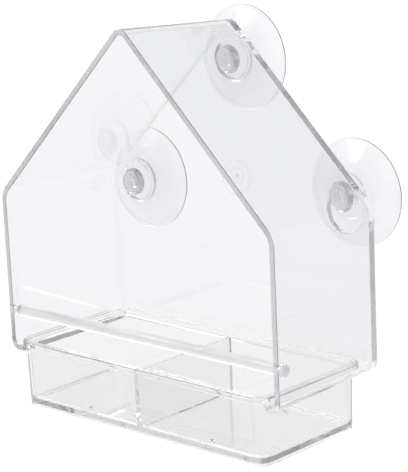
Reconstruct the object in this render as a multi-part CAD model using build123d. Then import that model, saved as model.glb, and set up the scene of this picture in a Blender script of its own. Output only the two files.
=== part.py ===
from build123d import *
from math import cos, radians, tan
import os

# Window bird feeder in clear moulded plastic: a house-shaped shell open at the front, a two-bay tray
# that slides in on the shell's in-turned lips, a perch across the front and three suction cups.
# Lengths are in millimetres and angles in degrees. +Z is up, the open front faces -Y and the window
# is on the +Y side. The origin is under the middle of the whole object, at the tray's foot.

os.makedirs("parts", exist_ok=True)

# House shell
house_width = 150.0
house_depth = 64.5
eave_height = 68.8
roof_pitch = 45.0
house_draft = 2.7
skin = 2.4
ridge_bend = 5.0
eave_bend = 10.0
lip_bend = 4.0
back_edge_round = 0.8

# Tray
tray_width = 135.0
tray_depth = 59.3
tray_below_lips = 23.0
tray_draft = 1.3
tray_corner = 6.0
tray_wall = 1.8
tray_floor = 2.0
tray_foot = 0.9
tray_foot_width = 2.2
tray_foot_bevel = 0.3
bay_floor_bend = 1.5
rim_thickness = 3.0
rim_side = 2.0
rim_front = 1.1
rim_back = 1.3
rim_under_chamfer = 1.1
rim_top_bevel = 0.5
divider_thickness = 1.8
divider_draft = 1.0
divider_below_rim = 1.6
drain_hole = 2.4
drain_spread_x = 69.2
drain_spread_y = 42.6
tray_front_stand = 1.95
tray_to_lip_gap = 0.3
panel_to_rim_gap = 0.6

# Perch
perch_diameter = 4.8
perch_setback = 3.45
perch_height = 16.7
perch_running_gap = 0.09
perch_proud = 1.2
perch_end_bevel = 0.5

# Keyholes in the back panel
keyhole_diameter = 17.0
keyhole_slot = 5.2
keyhole_rise = 6.5
keyhole_side_inset = 14.56
keyhole_side_below_eave = 5.2
keyhole_top_below_ridge = 19.0

# Suction cups
cup_diameter = 44.8
cup_rim_depth = 7.7
cup_rim_edge = 0.7
cup_rim_land = 1.0
cup_neck_diameter = 4.8
cup_play = 0.2
cup_head_diameter = 12.0
cup_head_thickness = 3.2
cup_head_face_diameter = 9.4
cup_head_land = 1.3
cup_dimple_diameter = 2.4
cup_dimple_depth = 1.2
cup_shoulder_diameter = 19.0
cup_shoulder_height = 1.3
cup_hollow_depth = 4.3
cup_hollow_floor_diameter = 17.0

# Gate mark of the moulding on the back panel
gate_height = 71.0
gate_ring_diameter = 14.0
gate_inner_diameter = 7.0
gate_step = 0.3
gate_nub_diameter = 1.4

# How far every cut runs past what it cuts
overrun = 2.0

# Places worked out from the sizes above
rim_front_reach = tray_front_stand + rim_front
cup_reach = cup_play + cup_rim_depth
whole_depth = rim_front_reach + house_depth + cup_reach
house_front = -whole_depth / 2 + rim_front_reach
house_back = house_front + house_depth
panel_front = house_back - skin
lip_under = tray_below_lips
lip_top = lip_under + skin
rim_top = lip_top + rim_thickness
panel_bottom = rim_top + panel_to_rim_gap
lip_tip_x = tray_width / 2 + tray_to_lip_gap
tray_front = house_front - tray_front_stand
tray_back = tray_front + tray_depth
tray_middle = (tray_front + tray_back) / 2


def wall_x(y, inset=0):
    """Half the house's width at depth y, on a surface moved in by an inset."""
    return house_width / 2 - (y - house_front) * tan(radians(house_draft)) - inset


def ridge_z(y, inset=0):
    """Height of the sharp ridge at depth y, on a surface moved in by an inset."""
    drawn_in = house_width / 2 - wall_x(y, inset)
    sharp = lip_under + eave_height + house_width / 2 * tan(radians(roof_pitch))
    return sharp - drawn_in / cos(radians(roof_pitch))


def section(y, inset):
    """The house's closed outline at depth y, moved in by an inset."""
    half = wall_x(y, inset)
    ridge = ridge_z(y, inset)
    eave = ridge - half * tan(radians(roof_pitch))
    bottom = lip_under + inset
    corners = [(-half, y, bottom), (half, y, bottom), (half, y, eave), (0, y, ridge), (-half, y, eave)]
    bends = [lip_bend, lip_bend, eave_bend, ridge_bend, eave_bend]
    outline = FilletPolyline(*corners, radius=[bend - inset for bend in bends], close=True)
    return make_face(outline)


def keyhole(x, z):
    """A cutter for one keyhole: a wide round hole with a slot that rises from it."""
    hole = Circle(keyhole_diameter / 2)
    slot = Pos(0, keyhole_rise / 2) * Rectangle(keyhole_slot, keyhole_rise)
    seat = Pos(0, keyhole_rise) * Circle(keyhole_slot / 2)
    plane = Plane((x, house_back + overrun, z), x_dir=(1, 0, 0), z_dir=(0, -1, 0))
    return extrude(plane * (hole + slot + seat), amount=skin + 2 * overrun)


def across(radius, length):
    """A cylinder along X, centred where the perch runs."""
    place = Pos(0, house_front + perch_setback, lip_under + perch_height)
    return place * Rot(0, 90, 0) * Cylinder(radius, length)


def house():
    """The shell: two walls, two roof panels, a back panel, and lips turned in under the walls."""
    outer = loft([section(house_front, 0), section(house_back, 0)], ruled=True)
    outer = fillet(outer.edges().group_by(Axis.Y)[-1], back_edge_round)
    inner = loft([section(house_front - overrun, skin), section(panel_front, skin)], ruled=True)
    inner = fillet(inner.edges().group_by(Axis.Y)[-1], back_edge_round)
    shell = outer - inner
    mouth_height = panel_bottom - lip_under + overrun
    mouth_middle = (house_front + house_back) / 2
    mouth = Box(2 * lip_tip_x, house_depth + 2 * overrun, mouth_height)
    shell -= Pos(0, mouth_middle, panel_bottom - mouth_height / 2) * mouth
    for x, z in cup_places:
        shell -= keyhole(x, z)
    shell -= across(perch_diameter / 2 + perch_running_gap, house_width + 2 * overrun)
    mark = Plane((0, house_back, lip_under + gate_height), x_dir=(1, 0, 0), z_dir=(0, -1, 0))
    ring = Circle(gate_ring_diameter / 2) - Circle(gate_inner_diameter / 2)
    shell -= extrude(mark * ring, amount=gate_step)
    shell += extrude(mark * Circle(gate_nub_diameter / 2), amount=-gate_step)
    return shell


def tray_block(width, depth, corner, low, high, draft):
    """A drafted block with rounded corners, widest at the top."""
    shrink = (high - low) * tan(radians(draft))
    top = RectangleRounded(width, depth, corner)
    foot = RectangleRounded(width - 2 * shrink, depth - 2 * shrink, corner - shrink)
    faces = [Pos(0, tray_middle, low) * foot, Pos(0, tray_middle, high) * top]
    return loft(faces, ruled=True)


def tray():
    """The two-bay tray: a drafted box with a rim, a foot, a divider and drain holes."""
    body = tray_block(tray_width, tray_depth, tray_corner, 0, rim_top, tray_draft)
    body = chamfer(body.edges().group_by(Axis.Z)[0], tray_foot_bevel)
    rim_width = tray_width + 2 * rim_side
    rim_depth = tray_depth + rim_front + rim_back
    rim_middle = tray_middle + (rim_back - rim_front) / 2
    rim_face = RectangleRounded(rim_width, rim_depth, tray_corner + rim_side)
    rim = extrude(Pos(0, rim_middle, lip_top) * rim_face, amount=rim_thickness)
    rim = chamfer(rim.edges().group_by(Axis.Z)[0], rim_under_chamfer)
    rim = chamfer(rim.edges().group_by(Axis.Z)[-1], rim_top_bevel)
    floor_top = tray_foot + tray_floor
    bay_width = tray_width - 2 * tray_wall
    bay_depth = tray_depth - 2 * tray_wall
    bay_corner = tray_corner - tray_wall
    bays = tray_block(bay_width, bay_depth, bay_corner, floor_top, rim_top + overrun, tray_draft)
    bays = fillet(bays.edges().group_by(Axis.Z)[0], bay_floor_bend)
    divider_top = rim_top - divider_below_rim
    divider_height = divider_top - floor_top + bay_floor_bend
    divider_face = Rectangle(divider_thickness, tray_depth - tray_wall)
    divider_face = Pos(0, tray_middle, divider_top) * divider_face
    divider = extrude(divider_face, amount=-divider_height, taper=-divider_draft)
    shrink = 2 * rim_top * tan(radians(tray_draft)) + 2 * tray_foot_width
    hollow_corner = tray_corner - shrink / 2
    hollow_face = RectangleRounded(tray_width - shrink, tray_depth - shrink, hollow_corner)
    foot_hollow = extrude(Pos(0, tray_middle, tray_foot) * hollow_face, amount=-tray_foot - overrun)
    shape = body + rim - bays + (divider & body) - foot_hollow
    drain = Cylinder(drain_hole / 2, tray_floor + 2 * overrun)
    for x in (-drain_spread_x / 2, drain_spread_x / 2):
        for y in (-drain_spread_y / 2, drain_spread_y / 2):
            shape -= Pos(x, tray_middle + y, tray_foot + tray_floor / 2) * drain
    return shape


def perch():
    """The perch: a straight rod through both side walls, its ends bevelled and a little proud."""
    half = wall_x(house_front + perch_setback) + perch_proud
    rod = across(perch_diameter / 2, 2 * half)
    return chamfer(rod.edges().filter_by(GeomType.CIRCLE), perch_end_bevel)


def suction_cup(x, z):
    """A soft cup: a dished disc for the glass, a neck through the panel and a mushroom head."""
    rim = cup_diameter / 2
    neck = cup_neck_diameter / 2
    head = cup_head_diameter / 2
    shoulder = cup_shoulder_diameter / 2
    bell_end = cup_play + cup_rim_depth
    head_back = -skin - cup_play
    head_front = head_back - cup_head_thickness
    outline = Polyline(
        (0, head_front + cup_dimple_depth),
        (cup_dimple_diameter / 2, head_front),
        (cup_head_face_diameter / 2, head_front),
        (head, head_back - cup_head_land),
        (head, head_back),
        (neck, head_back),
        (neck, cup_play),
        (shoulder, cup_play),
        (shoulder, cup_play + cup_shoulder_height),
        (rim, bell_end - cup_rim_edge),
        (rim, bell_end),
        (rim - cup_rim_land, bell_end),
        (cup_hollow_floor_diameter / 2, bell_end - cup_hollow_depth),
        (0, bell_end - cup_hollow_depth),
        close=True,
    )
    return Pos(x, house_back, z) * revolve(make_face(outline), Axis.Y)


# Where the keyholes' wide holes are, and how far up its slot each cup's neck stands
side_x = wall_x(house_back) - keyhole_side_inset
side_z = lip_under + eave_height - keyhole_side_below_eave
cup_places = [(-side_x, side_z), (side_x, side_z), (0, ridge_z(house_back) - keyhole_top_below_ridge)]
cup_seats = {"suction_cup_left": 0, "suction_cup_right": keyhole_rise, "suction_cup_top": 0}

parts = {"house_shell": house(), "tray": tray(), "perch": perch()}
for (name, risen), (x, z) in zip(cup_seats.items(), cup_places):
    parts[name] = suction_cup(x, z + risen)

for name, shape in parts.items():
    export_step(shape, f"parts/{name}.step")
    box = shape.bounding_box()
    print(name, "volume", round(shape.volume, 1), "low", box.min, "high", box.max)
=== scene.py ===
"""A clear window bird feeder: its finishes, its fine pieces and a plain studio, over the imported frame."""
import logging
import math
from dataclasses import dataclass, field
from enum import Enum
from typing import Callable

import bmesh
import bpy
from mathutils import Matrix, Vector


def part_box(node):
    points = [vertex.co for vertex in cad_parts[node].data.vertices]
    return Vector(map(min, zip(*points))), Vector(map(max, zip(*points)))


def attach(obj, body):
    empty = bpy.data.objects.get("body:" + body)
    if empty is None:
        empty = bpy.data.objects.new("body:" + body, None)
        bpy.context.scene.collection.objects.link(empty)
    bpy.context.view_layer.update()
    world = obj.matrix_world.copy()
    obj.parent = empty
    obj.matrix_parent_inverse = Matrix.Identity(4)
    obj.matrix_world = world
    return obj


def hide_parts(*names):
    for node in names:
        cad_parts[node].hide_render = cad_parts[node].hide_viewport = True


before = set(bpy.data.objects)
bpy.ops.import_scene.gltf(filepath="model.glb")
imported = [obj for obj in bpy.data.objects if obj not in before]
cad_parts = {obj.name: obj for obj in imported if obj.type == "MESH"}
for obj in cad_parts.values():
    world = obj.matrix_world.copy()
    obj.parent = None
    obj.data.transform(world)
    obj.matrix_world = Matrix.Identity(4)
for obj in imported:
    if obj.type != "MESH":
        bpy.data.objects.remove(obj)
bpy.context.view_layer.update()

MM = 0.001

# In millimetres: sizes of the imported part, the cup's thin lip, and how far off a plane a corner may be
CUP_DEPTH = 7.7
CUP_PLAY = 0.2
CUP_LIP = 0.86
PANEL_SKIN = 2.4
PLANE_GAP = 0.02

# Along Y in metres
HOUSE_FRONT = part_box("house_shell")[0][1]
CUP_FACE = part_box("suction_cup_top")[1][1]
CUP_HEAD_BACK = CUP_FACE - (CUP_DEPTH + 2 * CUP_PLAY + PANEL_SKIN) * MM

Socket = bpy.types.NodeSocket
Colour = tuple[float, float, float]

log = logging.getLogger("window_feeder")


class Slot(Enum):
    """The record's material slots."""

    SHELL = "clear_shell"
    TRAY = "clear_tray"
    ROD = "clear_rod"
    CUP = "soft_clear"


class Body(Enum):
    """The bodies that the pieces ride on."""

    HOUSE = "house"
    TRAY = "tray"
    PERCH = "perch"
    CUP_TOP = "cup_top"
    CUP_LEFT = "cup_left"
    CUP_RIGHT = "cup_right"


@dataclass(frozen=True)
class NodeSheet:
    """A node tree with short calls for adding and wiring nodes."""

    tree: bpy.types.NodeTree

    @classmethod
    def emptied(cls, owner: bpy.types.Material | bpy.types.World) -> "NodeSheet":
        """Switches nodes on and clears them.

        Args:
            owner: The material or world that has the nodes.

        Returns:
            A sheet for the empty tree.
        """
        owner.use_nodes = True
        owner.node_tree.nodes.clear()
        return cls(owner.node_tree)

    def add(self, kind: str, **settings: object) -> bpy.types.Node:
        """Adds a node.

        Args:
            kind: The node's type name.
            settings: Properties of the node, or values for its inputs by their names.

        Returns:
            The new node.
        """
        node = self.tree.nodes.new(kind)
        for name, value in settings.items():
            if hasattr(node, name):
                setattr(node, name, value)
            else:
                node.inputs[name.replace("_", " ")].default_value = value
        return node

    def wire(self, start: Socket, end: Socket) -> None:
        """Links an output to an input."""
        self.tree.links.new(start, end)

    def blend(self, amount: Socket, first: Colour | Socket, second: Colour | Socket) -> Socket:
        """Mixes two colours.

        Args:
            amount: How much of the second colour there is.
            first: The first colour, or a socket that gives it.
            second: The second colour, or a socket that gives it.

        Returns:
            The mixed colour.
        """
        node = self.add("ShaderNodeMix", data_type="RGBA")
        # The colour sockets of a mix node share names with its number sockets, so they go by kind
        colours = [socket for socket in node.inputs if socket.type == "RGBA"]
        for socket, colour in zip(colours, (first, second)):
            if isinstance(colour, Socket):
                self.wire(colour, socket)
            else:
                socket.default_value = (*colour, 1.0)
        self.wire(amount, node.inputs["Factor"])
        return next(socket for socket in node.outputs if socket.type == "RGBA")

    def math(self, operation: str, first: float | Socket, second: float | Socket | None = None) -> Socket:
        """Adds a math node.

        Args:
            operation: The node's operation, such as MULTIPLY.
            first: A socket or a number.
            second: A socket or a number, or nothing.

        Returns:
            The node's output.
        """
        node = self.tree.nodes.new("ShaderNodeMath")
        node.operation = operation
        for place, value in enumerate((first, second)):
            if isinstance(value, Socket):
                self.wire(value, node.inputs[place])
            elif value is not None:
                node.inputs[place].default_value = value
        return node.outputs[0]

    def ramp(
        self,
        value: Socket,
        low: float,
        high: float,
        ends: tuple[float, float] = (0.0, 1.0),
    ) -> Socket:
        """Eases a value from one range to another.

        Args:
            value: The value to ease.
            low: Where the easing starts.
            high: Where it ends.
            ends: What comes out at the start and at the end.

        Returns:
            The eased value.
        """
        node = self.tree.nodes.new("ShaderNodeMapRange")
        node.interpolation_type = "SMOOTHSTEP"
        self.wire(value, node.inputs["Value"])
        node.inputs["From Min"].default_value = low
        node.inputs["From Max"].default_value = high
        node.inputs["To Min"].default_value = ends[0]
        node.inputs["To Max"].default_value = ends[1]
        return node.outputs["Result"]


def new_group(name: str, amounts: tuple[str, ...], results: tuple[str, ...]) -> bpy.types.ShaderNodeTree:
    """Makes an empty shader group that takes a vector and some amounts.

    Args:
        name: The group's name.
        amounts: The names of its number inputs.
        results: The names of its number outputs.

    Returns:
        The group.
    """
    tree = bpy.data.node_groups.new(name, "ShaderNodeTree")
    tree.interface.new_socket(name="Vector", in_out="INPUT", socket_type="NodeSocketVector")
    for label in amounts:
        tree.interface.new_socket(name=label, in_out="INPUT", socket_type="NodeSocketFloat")
    for label in results:
        tree.interface.new_socket(name=label, in_out="OUTPUT", socket_type="NodeSocketFloat")
    return tree


@dataclass(frozen=True)
class MouldedSkin:
    """A shader group for the skin of a clear moulding: slow flow waves, fine grain, smudges and specks."""

    name: str = "moulded_skin"
    noise_mean: float = 0.5
    wave_detail: float = 1.5
    wave_roughness: float = 0.45
    grain_detail: float = 2.0
    grain_roughness: float = 0.6
    grain_share: float = 0.02
    smudge_scale: float = 55.0
    smudge_detail: float = 4.0
    smudge_roughness: float = 0.62
    smudge_distortion: float = 0.8
    smudge_range: tuple[float, float] = (0.5, 0.72)
    smudge_haze: float = 0.12
    speck_scale: float = 140.0
    speck_edge: tuple[float, float] = (0.04, 0.075)
    speck_choice: tuple[float, float] = (0.955, 0.96)
    speck_matt: float = 0.3

    def build(self) -> bpy.types.ShaderNodeTree:
        """Makes the group once.

        Returns:
            The group, with inputs for the sizes and amounts and outputs for roughness, height and haze.
        """
        if self.name in bpy.data.node_groups:
            return bpy.data.node_groups[self.name]
        amounts = ("Wave Scale", "Grain Scale", "Polish", "Smudge", "Speck")
        tree = new_group(self.name, amounts, results=("Roughness", "Height", "Haze"))
        sheet = NodeSheet(tree)
        given = sheet.add("NodeGroupInput")
        given_out = sheet.add("NodeGroupOutput")
        place = given.outputs["Vector"]
        waves = sheet.add("ShaderNodeTexNoise", Detail=self.wave_detail, Roughness=self.wave_roughness)
        grain = sheet.add("ShaderNodeTexNoise", Detail=self.grain_detail, Roughness=self.grain_roughness)
        smudges = sheet.add(
            "ShaderNodeTexNoise",
            Scale=self.smudge_scale,
            Detail=self.smudge_detail,
            Roughness=self.smudge_roughness,
            Distortion=self.smudge_distortion,
        )
        specks = sheet.add("ShaderNodeTexVoronoi", Scale=self.speck_scale, Randomness=1.0)
        pick = sheet.add("ShaderNodeTexWhiteNoise")
        for node in (waves, grain, smudges, specks):
            sheet.wire(place, node.inputs["Vector"])
        sheet.wire(given.outputs["Wave Scale"], waves.inputs["Scale"])
        sheet.wire(given.outputs["Grain Scale"], grain.inputs["Scale"])
        sheet.wire(specks.outputs["Position"], pick.inputs["Vector"])
        patches = sheet.ramp(smudges.outputs["Fac"], *self.smudge_range)
        dot = sheet.ramp(specks.outputs["Distance"], *self.speck_edge, ends=(1.0, 0.0))
        rare = sheet.ramp(pick.outputs["Value"], *self.speck_choice)
        marks = sheet.math("MULTIPLY", sheet.math("MULTIPLY", dot, rare), given.outputs["Speck"])
        smeared = sheet.math("MULTIPLY", patches, given.outputs["Smudge"])
        rough = sheet.math("ADD", given.outputs["Polish"], smeared)
        rough = sheet.math("ADD", rough, sheet.math("MULTIPLY", marks, self.speck_matt))
        sheet.wire(rough, given_out.inputs["Roughness"])
        ripple = sheet.math("SUBTRACT", grain.outputs["Fac"], self.noise_mean)
        ripple = sheet.math("MULTIPLY", ripple, self.grain_share)
        sheet.wire(sheet.math("ADD", waves.outputs["Fac"], ripple), given_out.inputs["Height"])
        haze = sheet.math("ADD", sheet.math("MULTIPLY", patches, self.smudge_haze), marks)
        sheet.wire(haze, given_out.inputs["Haze"])
        return tree


@dataclass(frozen=True)
class FrontZone:
    """What lies in front of the plane at, in metres along Y: it is more matt and more clouded.

    It fades out behind the plane over fade, in millimetres.
    """

    at: float
    fade: float = 0.3
    matt: float = 0.0
    cloud: float = 0.0
    group_name: str = "front_zone"

    def group(self) -> bpy.types.ShaderNodeTree:
        """Makes the zone's shader group once.

        Returns:
            The group, with outputs for the roughness and the haze that the zone adds.
        """
        if self.group_name in bpy.data.node_groups:
            return bpy.data.node_groups[self.group_name]
        amounts = ("Plane", "Fade", "Matt", "Cloud")
        tree = new_group(self.group_name, amounts, results=("Roughness", "Haze"))
        sheet = NodeSheet(tree)
        given = sheet.add("NodeGroupInput")
        given_out = sheet.add("NodeGroupOutput")
        parts = sheet.add("ShaderNodeSeparateXYZ")
        sheet.wire(given.outputs["Vector"], parts.inputs["Vector"])
        behind = sheet.math("SUBTRACT", parts.outputs["Y"], given.outputs["Plane"])
        behind = sheet.math("DIVIDE", behind, given.outputs["Fade"])
        front = sheet.ramp(behind, 0.0, 1.0, ends=(1.0, 0.0))
        sheet.wire(sheet.math("MULTIPLY", front, given.outputs["Matt"]), given_out.inputs["Roughness"])
        sheet.wire(sheet.math("MULTIPLY", front, given.outputs["Cloud"]), given_out.inputs["Haze"])
        return tree

    def place(self, sheet: NodeSheet, place: Socket) -> bpy.types.Node:
        """Places the zone's group in a material.

        Args:
            sheet: The material's sheet.
            place: The Object coordinates.

        Returns:
            The group's node.
        """
        zone = sheet.add(
            "ShaderNodeGroup",
            node_tree=self.group(),
            Plane=self.at,
            Fade=self.fade * MM,
            Matt=self.matt,
            Cloud=self.cloud,
        )
        sheet.wire(place, zone.inputs["Vector"])
        return zone


@dataclass(frozen=True)
class PaintedCornerShade:
    """Painted shade on the upright corners of a moulding, in millimetres: a dark colour laid where they are
    seen edge on, standing in for the darkness the clear corners show there.
    """

    past_x: float
    past_y: float
    middle_y: float
    low: float
    high: float
    tint: Colour
    edge_on: tuple[float, float] = (0.45, 0.75)

    def dress(self, sheet: NodeSheet, place: bpy.types.Node, colour: Socket) -> Socket:
        """Lays the painted corner shade over a finish.

        Args:
            sheet: The material's sheet.
            place: The node that parts the Object coordinates.
            colour: The finish's own colour.

        Returns:
            The colour with the corners in it.
        """
        # The dark tint is painted shade, strongest where the corner is seen edge on
        glance = sheet.add("ShaderNodeLayerWeight", Blend=0.5)
        amount = sheet.ramp(glance.outputs["Facing"], *self.edge_on)
        from_middle = sheet.math("SUBTRACT", place.outputs["Y"], self.middle_y * MM)
        limits = (
            ("GREATER_THAN", sheet.math("ABSOLUTE", place.outputs["X"]), self.past_x),
            ("GREATER_THAN", sheet.math("ABSOLUTE", from_middle), self.past_y),
            ("GREATER_THAN", place.outputs["Z"], self.low),
            ("LESS_THAN", place.outputs["Z"], self.high),
        )
        for operation, value, limit in limits:
            amount = sheet.math("MULTIPLY", amount, sheet.math(operation, value, limit * MM))
        return sheet.blend(amount, colour, self.tint)


@dataclass(frozen=True)
class PaintedRimShade:
    """Painted shade on the sideways faces behind a plane, in metres along Y: a grey colour where those faces
    turn towards the eye, standing in for the dark outline of the cup's lip.
    """

    behind: float
    tint: Colour
    lean: float = 0.6

    def dress(self, sheet: NodeSheet, place: bpy.types.Node, colour: Socket) -> Socket:
        """Lays the painted rim shade over a finish.

        Args:
            sheet: The material's sheet.
            place: The node that parts the Object coordinates.
            colour: The finish's own colour.

        Returns:
            The colour with the painted rim shade in it.
        """
        # The grey tint is painted shade: a dark outline on the cup's lip
        geometry = sheet.add("ShaderNodeNewGeometry")
        normal = sheet.add("ShaderNodeSeparateXYZ")
        sheet.wire(geometry.outputs["Normal"], normal.inputs["Vector"])
        sideways = sheet.math("LESS_THAN", sheet.math("ABSOLUTE", normal.outputs["Y"]), self.lean)
        beyond = sheet.math("GREATER_THAN", place.outputs["Y"], self.behind)
        entering = sheet.math("SUBTRACT", 1.0, geometry.outputs["Backfacing"])
        amount = sheet.math("MULTIPLY", sheet.math("MULTIPLY", beyond, sideways), entering)
        return sheet.blend(amount, colour, self.tint)


@dataclass(frozen=True)
class ClearFinish:
    """A see-through moulded finish: glass-like at its faces, a little darker through its length.

    Its front zone, where it has one, adds to its roughness and haze. The details, painted shade on corners
    and rims, are laid over its colour.
    """

    name: str
    tint: Colour
    haze: Colour
    ior: float
    depth_colour: Colour
    depth_density: float
    wave_scale: float = 30.0
    wave_height: float = 0.03
    grain_scale: float = 900.0
    polish: float = 0.02
    smudge: float = 0.04
    speck: float = 0.5
    front: FrontZone | None = None
    details: tuple[PaintedCornerShade | PaintedRimShade, ...] = ()

    def material(self) -> bpy.types.Material:
        """Makes the finish's material once.

        Returns:
            The material.
        """
        if self.name in bpy.data.materials:
            return bpy.data.materials[self.name]
        material = bpy.data.materials.new(self.name)
        sheet = NodeSheet.emptied(material)
        coordinates = sheet.add("ShaderNodeTexCoord")
        skin = sheet.add("ShaderNodeGroup", node_tree=MouldedSkin().build())
        sheet.wire(coordinates.outputs["Object"], skin.inputs["Vector"])
        for label, value in (
            ("Wave Scale", self.wave_scale),
            ("Grain Scale", self.grain_scale),
            ("Polish", self.polish),
            ("Smudge", self.smudge),
            ("Speck", self.speck),
        ):
            skin.inputs[label].default_value = value
        cloud, rough = skin.outputs["Haze"], skin.outputs["Roughness"]
        if self.front:
            zone = self.front.place(sheet, coordinates.outputs["Object"])
            cloud = sheet.math("ADD", cloud, zone.outputs["Haze"])
            rough = sheet.math("ADD", rough, zone.outputs["Roughness"])
        mixed = sheet.blend(cloud, self.tint, self.haze)
        parts = sheet.add("ShaderNodeSeparateXYZ")
        sheet.wire(coordinates.outputs["Object"], parts.inputs["Vector"])
        for detail in self.details:
            mixed = detail.dress(sheet, parts, mixed)
        bump = sheet.add("ShaderNodeBump", Strength=1.0, Distance=self.wave_height * MM)
        sheet.wire(skin.outputs["Height"], bump.inputs["Height"])
        plastic = sheet.add("ShaderNodeBsdfPrincipled", IOR=self.ior, Metallic=0.0)
        plastic.inputs["Transmission Weight"].default_value = 1.0
        sheet.wire(mixed, plastic.inputs["Base Color"])
        sheet.wire(rough, plastic.inputs["Roughness"])
        sheet.wire(bump.outputs["Normal"], plastic.inputs["Normal"])
        through = sheet.add("ShaderNodeBsdfTransparent", Color=(*self.tint, 1.0))
        rays = sheet.add("ShaderNodeLightPath")
        choice = sheet.add("ShaderNodeMixShader")
        sheet.wire(rays.outputs["Is Shadow Ray"], choice.inputs["Fac"])
        sheet.wire(plastic.outputs["BSDF"], choice.inputs[1])
        sheet.wire(through.outputs["BSDF"], choice.inputs[2])
        inside = sheet.add("ShaderNodeVolumeAbsorption", Density=self.depth_density)
        inside.inputs["Color"].default_value = (*self.depth_colour, 1.0)
        out = sheet.add("ShaderNodeOutputMaterial")
        sheet.wire(choice.outputs["Shader"], out.inputs["Surface"])
        sheet.wire(inside.outputs["Volume"], out.inputs["Volume"])
        return material


SHELL_FINISH = ClearFinish(
    name="clear_shell_plastic",
    tint=(0.952, 0.952, 0.953),
    haze=(0.86, 0.86, 0.865),
    ior=1.51,
    depth_colour=(0.56, 0.565, 0.575),
    depth_density=9.0,
    polish=0.045,
    front=FrontZone(at=HOUSE_FRONT, matt=0.3),
)
TRAY_FINISH = ClearFinish(
    name="clear_tray_plastic",
    tint=(0.942, 0.942, 0.942),
    haze=(0.85, 0.85, 0.855),
    ior=1.51,
    depth_colour=(0.56, 0.565, 0.575),
    depth_density=10.0,
    wave_scale=42.0,
    polish=0.03,
    smudge=0.05,
    details=(
        # Painted shade: a dark colour on the tray's upright corners where they are seen edge on
        PaintedCornerShade(
            past_x=61.5,
            past_y=23.65,
            middle_y=-6.975,
            low=3.3,
            high=22.8,
            tint=(0.14, 0.14, 0.15),
        ),
    ),
)
ROD_FINISH = ClearFinish(
    name="clear_rod_plastic",
    tint=(0.95, 0.95, 0.953),
    haze=(0.9, 0.9, 0.9),
    ior=1.49,
    depth_colour=(0.6, 0.605, 0.61),
    depth_density=40.0,
    wave_scale=60.0,
    wave_height=0.008,
    polish=0.36,
    smudge=0.05,
)
CUP_FINISH = ClearFinish(
    name="soft_clear_vinyl",
    tint=(0.99, 0.99, 0.996),
    haze=(0.84, 0.84, 0.855),
    ior=1.5,
    depth_colour=(0.5, 0.505, 0.53),
    depth_density=62.0,
    wave_scale=90.0,
    wave_height=0.05,
    polish=0.16,
    smudge=0.08,
    speck=0.3,
    front=FrontZone(at=CUP_HEAD_BACK, fade=0.6, cloud=0.7),
    # Painted shade: a grey outline on the cup's lip
    details=(PaintedRimShade(behind=CUP_FACE - CUP_LIP * MM, tint=(0.45, 0.45, 0.46)),),
)


def link_mesh(name: str, bm: bmesh.types.BMesh) -> bpy.types.Object:
    """Turns a finished bmesh into an object of the scene.

    Args:
        name: The object's name.
        bm: Its shape, in metres in the frame.

    Returns:
        The new object.
    """
    mesh = bpy.data.meshes.new(name)
    bm.to_mesh(mesh)
    bm.free()
    linked = bpy.data.objects.new(name, mesh)
    bpy.context.scene.collection.objects.link(linked)
    return linked


@dataclass
class FinePiece:
    """A visible piece that stands for one node of the frame."""

    name: str
    node: str
    body: Body
    slot: Slot
    finish: ClearFinish
    face_weight: int = 100

    def place(self, bm: bmesh.types.BMesh) -> bpy.types.Object:
        """Links the piece's shape and smooths its shading.

        Args:
            bm: The shape, in metres in the frame.

        Returns:
            The piece.
        """
        piece = link_mesh(self.name, bm)
        faces = piece.data.polygons
        faces.foreach_set("use_smooth", [True] * len(faces))
        return piece

    def flatten(self, piece: bpy.types.Object) -> None:
        """Lets large faces lead the shading, so that they stay flat beside rounded edges.

        Args:
            piece: The piece to shade.
        """
        weights = piece.modifiers.new("flat_faces_first", "WEIGHTED_NORMAL")
        weights.weight = self.face_weight
        weights.keep_sharp = False

    def dress(self, piece: bpy.types.Object) -> None:
        """Gives a piece its finish and its body.

        Args:
            piece: The piece to dress.
        """
        piece.data.materials.clear()
        piece.data.materials.append(self.finish.material())
        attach(piece, self.body.value)
        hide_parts(self.node)
        faces = len(piece.data.polygons)
        log.info("%s: %d faces, stands for %s, rides on %s", self.name, faces, self.node, self.body.value)


@dataclass
class EdgeRound:
    """A rounding for the sharp edges that a test picks, with its radius in millimetres."""

    radius: float
    picks: Callable[[bmesh.types.BMEdge], bool]
    segments: int = 2


@dataclass
class Moulding(FinePiece):
    """A moulded piece: a merged copy of its node with every sharp edge rounded as a mould leaves it."""

    rounds: list[EdgeRound] = field(default_factory=list)
    sharp_angle: float = math.radians(24)
    merge_gap: float = 0.0005

    def shape(self) -> bmesh.types.BMesh:
        """Merges the node's loose triangles into one closed shape.

        Returns:
            The shape in metres.
        """
        bm = bmesh.new()
        bm.from_mesh(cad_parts[self.node].data)
        bmesh.ops.remove_doubles(bm, verts=bm.verts, dist=self.merge_gap * MM)
        return bm

    def round_edges(self, bm: bmesh.types.BMesh) -> None:
        """Rounds the sharp edges, group by group.

        Args:
            bm: The closed shape whose edges are rounded.
        """
        for group in self.rounds:
            sharp = [edge for edge in bm.edges if edge.calc_face_angle(0.0) > self.sharp_angle]
            chosen = [edge for edge in sharp if group.picks(edge)]
            bmesh.ops.bevel(
                bm,
                geom=chosen,
                offset=group.radius * MM,
                segments=group.segments,
                profile=0.5,
                affect="EDGES",
                material=-1,
                clamp_overlap=False,
                loop_slide=True,
            )

    def build(self) -> bpy.types.Object:
        """Builds and dresses the piece.

        Returns:
            The piece.
        """
        bm = self.shape()
        self.round_edges(bm)
        piece = self.place(bm)
        self.flatten(piece)
        self.dress(piece)
        return piece


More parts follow.
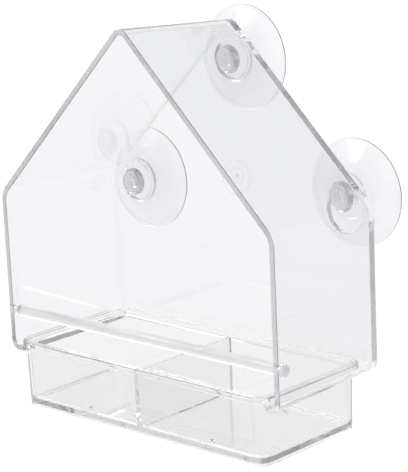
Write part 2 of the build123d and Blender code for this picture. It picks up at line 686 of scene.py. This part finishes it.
@dataclass
class HouseShell(Moulding):
    """The shell, with its back panel's lower edge brought down behind the tray's rim.

    The edge stands at the height panel_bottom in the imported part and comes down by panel_reach, both in
    millimetres.
    """

    panel_bottom: float = 29.0
    panel_reach: float = 2.4

    def shape(self) -> bmesh.types.BMesh:
        """Merges the node's triangles and lowers the panel's edge, whose faces keep their planes.

        Returns:
            The shape in metres.
        """
        bm = super().shape()
        height = self.panel_bottom * MM
        level = [vert for vert in bm.verts if abs(vert.co.z - height) < PLANE_GAP * MM]
        corners = [vert for vert in level if vert.co.y > 0]
        bmesh.ops.translate(bm, verts=corners, vec=(0, 0, -self.panel_reach * MM))
        log.info("%s: %d corners of the back panel's lower edge moved", self.name, len(corners))
        return bm


def is_front(edge: bmesh.types.BMEdge) -> bool:
    """Tells whether an edge lies in the house's front plane."""
    return all(abs(vert.co.y - HOUSE_FRONT) < PLANE_GAP * MM for vert in edge.verts)


def is_other(edge: bmesh.types.BMEdge) -> bool:
    """Tells whether an edge lies off the house's front plane."""
    return not is_front(edge)


@dataclass
class Perch:
    """The round rod across the front, in millimetres, with rounded ends."""

    diameter: float = 4.8
    end_round: float = 0.6
    end_angle: float = math.radians(60)
    sides: int = 64
    round_segments: int = 4

    def build(self) -> bpy.types.Object:
        """Builds and dresses the rod.

        Returns:
            The rod.
        """
        low, high = (Vector(corner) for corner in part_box("perch"))
        middle = (low + high) / 2
        bm = bmesh.new()
        turn = Matrix.Translation((low.x, middle.y, middle.z)) @ Matrix.Rotation(math.radians(90), 4, "Y")
        radius = self.diameter / 2 * MM
        bmesh.ops.create_circle(bm, cap_ends=True, segments=self.sides, radius=radius, matrix=turn)
        rod = bmesh.ops.extrude_face_region(bm, geom=bm.faces[:])
        moved = [part for part in rod["geom"] if isinstance(part, bmesh.types.BMVert)]
        bmesh.ops.translate(bm, verts=moved, vec=(high.x - low.x, 0, 0))
        ends = [edge for edge in bm.edges if edge.calc_face_angle(0.0) > self.end_angle]
        bmesh.ops.bevel(
            bm,
            geom=ends,
            offset=self.end_round * MM,
            segments=self.round_segments,
            profile=0.5,
            affect="EDGES",
            material=-1,
        )
        bmesh.ops.recalc_face_normals(bm, faces=bm.faces)
        piece = FinePiece("perch_rod", "perch", Body.PERCH, Slot.ROD, ROD_FINISH)
        rod_object = piece.place(bm)
        piece.flatten(rod_object)
        piece.dress(rod_object)
        return rod_object


# Pairs of radius and depth in millimetres. The head's dimpled face, from its middle outwards, in from its
# front; the bell beyond the shoulder, back from the play's end; the hollow, inwards, in from the cup's face
HEAD_FACE = (
    (0.0, 1.9),
    (0.42, 1.85),
    (0.5, 1.2),
    (0.58, 0.45),
    (0.85, 0.3),
    (1.35, 0.25),
    (1.6, 0.02),
    (2.2, 0.0),
    (3.2, 0.02),
    (3.55, 0.4),
    (4.0, 0.42),
    (4.35, 0.05),
    (4.8, 0.15),
    (5.5, 1.0),
)
BELL = ((10.6, 1.65), (13.0, 2.55), (14.7, 3.3), (14.95, 3.65), (16.5, 4.35), (19.0, 5.6), (21.3, 6.7))
HOLLOW = ((20.6, 0.6), (18.0, 1.6), (14.0, 2.85), (10.0, 3.75), (5.0, 4.3), (0.0, 4.4))


@dataclass
class SuctionCup:
    """A soft suction cup, in millimetres: a bell with a thin lip, a neck through the keyhole and a head."""

    node: str
    body: Body
    play: float = CUP_PLAY
    skin: float = PANEL_SKIN
    neck_radius: float = 2.34
    head_radius: float = 6.0
    head_thickness: float = 3.2
    shoulder_radius: float = 9.5
    rim_radius: float = 22.4
    depth: float = CUP_DEPTH
    flare: float = 0.1
    flare_radius: float = 3.4
    spin_steps: int = 96
    merge_gap: float = 0.001

    def outline(self) -> list[tuple[float, float]]:
        """Lists the half profile from the head's middle round to the hollow's middle.

        Returns:
            Pairs of radius and distance behind the back panel, in millimetres.
        """
        head_back = -self.skin - self.play
        head_front = head_back - self.head_thickness
        glass = self.play + self.depth
        rim = self.rim_radius
        face = [(radius, head_front + depth) for radius, depth in HEAD_FACE]
        head_side = [
            (self.head_radius - 0.05, head_back - 1.1),
            (self.head_radius, head_back - 0.5),
            (self.head_radius - 0.35, head_back - 0.05),
            (self.flare_radius, head_back),
        ]
        neck = [
            (self.neck_radius + self.flare, head_back + 0.03),
            (self.neck_radius, head_back + 0.15),
            (self.neck_radius, self.play - 0.15),
            (self.neck_radius + self.flare, self.play - 0.03),
        ]
        shoulder = [
            (self.flare_radius, self.play),
            (self.shoulder_radius - 0.4, self.play),
            (self.shoulder_radius, self.play + 0.4),
            (self.shoulder_radius + 0.15, self.play + 1.1),
        ]
        bell = [(radius, self.play + depth) for radius, depth in BELL]
        lip = [
            (rim - 0.12, glass - 0.92),
            (rim, glass - 0.8),
            (rim, glass - 0.14),
            (rim - 0.16, glass),
            (rim - 0.95, glass - 0.02),
        ]
        hollow = [(radius, glass - depth) for radius, depth in HOLLOW]
        return face + head_side + neck + shoulder + bell + lip + hollow

    def build(self) -> bpy.types.Object:
        """Builds and dresses the cup on its node's own axis.

        Returns:
            The cup.
        """
        low, high = (Vector(corner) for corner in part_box(self.node))
        panel = high.y - (self.play + self.depth) * MM
        centre = Vector(((low.x + high.x) / 2, panel, (low.z + high.z) / 2))
        bm = bmesh.new()
        line = [bm.verts.new(centre + Vector((radius * MM, y * MM, 0))) for radius, y in self.outline()]
        edges = [bm.edges.new(pair) for pair in zip(line, line[1:])]
        bmesh.ops.spin(
            bm,
            geom=line + edges,
            cent=centre,
            axis=(0, 1, 0),
            angle=math.tau,
            steps=self.spin_steps,
            use_merge=True,
        )
        bmesh.ops.remove_doubles(bm, verts=bm.verts, dist=self.merge_gap * MM)
        bmesh.ops.recalc_face_normals(bm, faces=bm.faces)
        piece = FinePiece(f"{self.node}_moulded", self.node, self.body, Slot.CUP, CUP_FINISH)
        cup = piece.place(bm)
        smooth = cup.modifiers.new("soft_curves", "SUBSURF")
        smooth.levels = 1
        smooth.render_levels = 1
        piece.dress(cup)
        return cup


@dataclass
class Lamp:
    """A square softbox aimed at the feeder, with its size and place in metres and its power in watts."""

    name: str
    place: tuple[float, float, float]
    size: float
    power: float
    aim: tuple[float, float, float] = (0.0, 0.0, 0.08)

    def build(self) -> None:
        """Hangs the softbox."""
        light = bpy.data.lights.new(self.name, "AREA")
        light.shape = "SQUARE"
        light.size = self.size
        light.energy = self.power
        lamp = bpy.data.objects.new(self.name, light)
        lamp.location = self.place
        lamp.rotation_euler = (Vector(self.aim) - Vector(self.place)).to_track_quat("-Z", "Y").to_euler()
        lamp.visible_camera = False
        bpy.context.scene.collection.objects.link(lamp)


SOFTBOXES = (
    Lamp("key_softbox", place=(-1.1, -1.3, 1.5), size=0.9, power=8.5),
    Lamp("fill_softbox", place=(1.6, -0.9, 1.0), size=0.7, power=5.0),
    Lamp("back_softbox", place=(-1.5, 1.1, 1.2), size=0.7, power=7.0),
)


@dataclass
class Studio:
    """The plain white floor, the world round it, the softboxes and the camera.

    The floor's side and the clip are in metres. The floor's drop and the camera's sensor, distance and
    target are in millimetres, and its angles in degrees. The world turns from its horizon to its ceiling
    over rise_span, which is the sine of the height.
    """

    floor_side: float = 6.0
    floor_drop: float = 0.05
    floor_white: float = 0.8
    floor_glow: float = 0.72
    floor_glow_to_eye: float = 0.82
    floor_shade: float = 0.28
    horizon: float = 0.97
    ceiling: float = 0.78
    ceiling_tint: Colour = (0.87, 0.905, 1.0)
    rise_span: tuple[float, float] = (0.3, 0.75)
    ambient: float = 0.7
    light_bounces: int = 80
    azimuth: float = 43.143
    elevation: float = 13.883
    roll: float = -2.592
    distance: float = 793.24
    lens: float = 149.73
    sensor: float = 36.0
    clip: tuple[float, float] = (0.01, 20.0)
    target: tuple[float, float, float] = (9.819, -2.425, 77.067)

    def floor(self) -> None:
        """Lays the floor just under the tray's foot: white to the eye, with the feeder's faint shadow."""
        bm = bmesh.new()
        drop = Matrix.Translation((0, 0, -self.floor_drop * MM))
        bmesh.ops.create_grid(bm, x_segments=1, y_segments=1, size=self.floor_side / 2, matrix=drop)
        plane = link_mesh("studio_floor", bm)
        material = bpy.data.materials.new("white_paper")
        sheet = NodeSheet.emptied(material)
        paper = sheet.add("ShaderNodeBsdfDiffuse", Color=(self.floor_white,) * 3 + (1.0,))
        shade = sheet.add("ShaderNodeBsdfDiffuse", Color=(self.floor_shade,) * 3 + (1.0,))
        glow = sheet.add("ShaderNodeEmission")
        both = sheet.add("ShaderNodeAddShader")
        sheet.wire(shade.outputs[0], both.inputs[0])
        sheet.wire(glow.outputs[0], both.inputs[1])
        rays = sheet.add("ShaderNodeLightPath")
        more = sheet.math("MULTIPLY", rays.outputs["Is Camera Ray"], self.floor_glow_to_eye - self.floor_glow)
        sheet.wire(sheet.math("ADD", more, self.floor_glow), glow.inputs["Strength"])
        seen = sheet.math("MAXIMUM", rays.outputs["Is Camera Ray"], rays.outputs["Is Glossy Ray"])
        seen = sheet.math("MAXIMUM", seen, rays.outputs["Is Transmission Ray"])
        choice = sheet.add("ShaderNodeMixShader")
        sheet.wire(seen, choice.inputs["Fac"])
        sheet.wire(paper.outputs[0], choice.inputs[1])
        sheet.wire(both.outputs[0], choice.inputs[2])
        out = sheet.add("ShaderNodeOutputMaterial")
        sheet.wire(choice.outputs[0], out.inputs["Surface"])
        plane.data.materials.append(material)

    def world(self) -> None:
        """Makes the world: white round the horizon, greyer overhead, and white wherever the eye looks."""
        world = bpy.data.worlds.new("studio_world")
        bpy.context.scene.world = world
        sheet = NodeSheet.emptied(world)
        direction = sheet.add("ShaderNodeTexCoord")
        parts = sheet.add("ShaderNodeSeparateXYZ")
        sheet.wire(direction.outputs["Generated"], parts.inputs["Vector"])
        height = sheet.ramp(parts.outputs["Z"], *self.rise_span, ends=(self.horizon, self.ceiling))
        rays = sheet.add("ShaderNodeLightPath")
        seen = sheet.math("MAXIMUM", rays.outputs["Is Glossy Ray"], rays.outputs["Is Transmission Ray"])
        lit = sheet.math("MULTIPLY", seen, height)
        lit = sheet.math("ADD", lit, sheet.math("MULTIPLY", sheet.math("SUBTRACT", 1.0, seen), self.ambient))
        strength = sheet.math("MAXIMUM", lit, rays.outputs["Is Camera Ray"])
        above = sheet.ramp(parts.outputs["Z"], *self.rise_span)
        background = sheet.add("ShaderNodeBackground")
        sheet.wire(sheet.blend(above, (1.0, 1.0, 1.0), self.ceiling_tint), background.inputs["Color"])
        sheet.wire(strength, background.inputs["Strength"])
        out = sheet.add("ShaderNodeOutputWorld")
        sheet.wire(background.outputs[0], out.inputs["Surface"])

    def camera(self) -> None:
        """Sets the camera at the photograph's angle."""
        az, el, roll = (math.radians(angle) for angle in (self.azimuth, self.elevation, self.roll))
        back = Vector((math.sin(az) * math.cos(el), -math.cos(az) * math.cos(el), math.sin(el)))
        right = Vector((math.cos(az), math.sin(az), 0.0))
        up = back.cross(right)
        across = right * math.cos(roll) + up * math.sin(roll)
        upward = up * math.cos(roll) - right * math.sin(roll)
        eye = (Vector(self.target) + back * self.distance) * MM
        data = bpy.data.cameras.new("photo_camera")
        data.sensor_width = self.sensor
        data.lens = self.lens
        data.clip_start, data.clip_end = self.clip
        camera = bpy.data.objects.new("photo_camera", data)
        turned = Matrix((across, upward, back)).transposed().to_4x4()
        camera.matrix_world = Matrix.Translation(eye) @ turned
        bpy.context.scene.collection.objects.link(camera)
        bpy.context.scene.camera = camera

    def build(self) -> None:
        """Sets up the whole studio."""
        self.floor()
        self.world()
        for softbox in SOFTBOXES:
            softbox.build()
        self.camera()
        scene = bpy.context.scene
        scene.view_settings.view_transform = "Standard"
        scene.cycles.max_bounces = self.light_bounces
        scene.cycles.transmission_bounces = self.light_bounces
        scene.cycles.glossy_bounces = self.light_bounces
        scene.cycles.transparent_max_bounces = self.light_bounces
        log.info("studio: floor, world, softboxes and camera")


def main() -> None:
    """Builds the studio and every piece in order."""
    logging.basicConfig(level=logging.INFO, format="%(message)s")
    Studio().build()
    HouseShell(
        "house_moulded",
        "house_shell",
        Body.HOUSE,
        Slot.SHELL,
        SHELL_FINISH,
        rounds=[
            EdgeRound(radius=0.3, picks=is_front, segments=3),
            EdgeRound(radius=0.12, picks=is_other),
        ],
    ).build()
    Moulding(
        "tray_moulded",
        "tray",
        Body.TRAY,
        Slot.TRAY,
        TRAY_FINISH,
        rounds=[EdgeRound(radius=0.12, picks=is_other)],
    ).build()
    Perch().build()
    for body in (Body.CUP_TOP, Body.CUP_LEFT, Body.CUP_RIGHT):
        SuctionCup(f"suction_{body.value}", body).build()


if __name__ == "__main__":
    main()
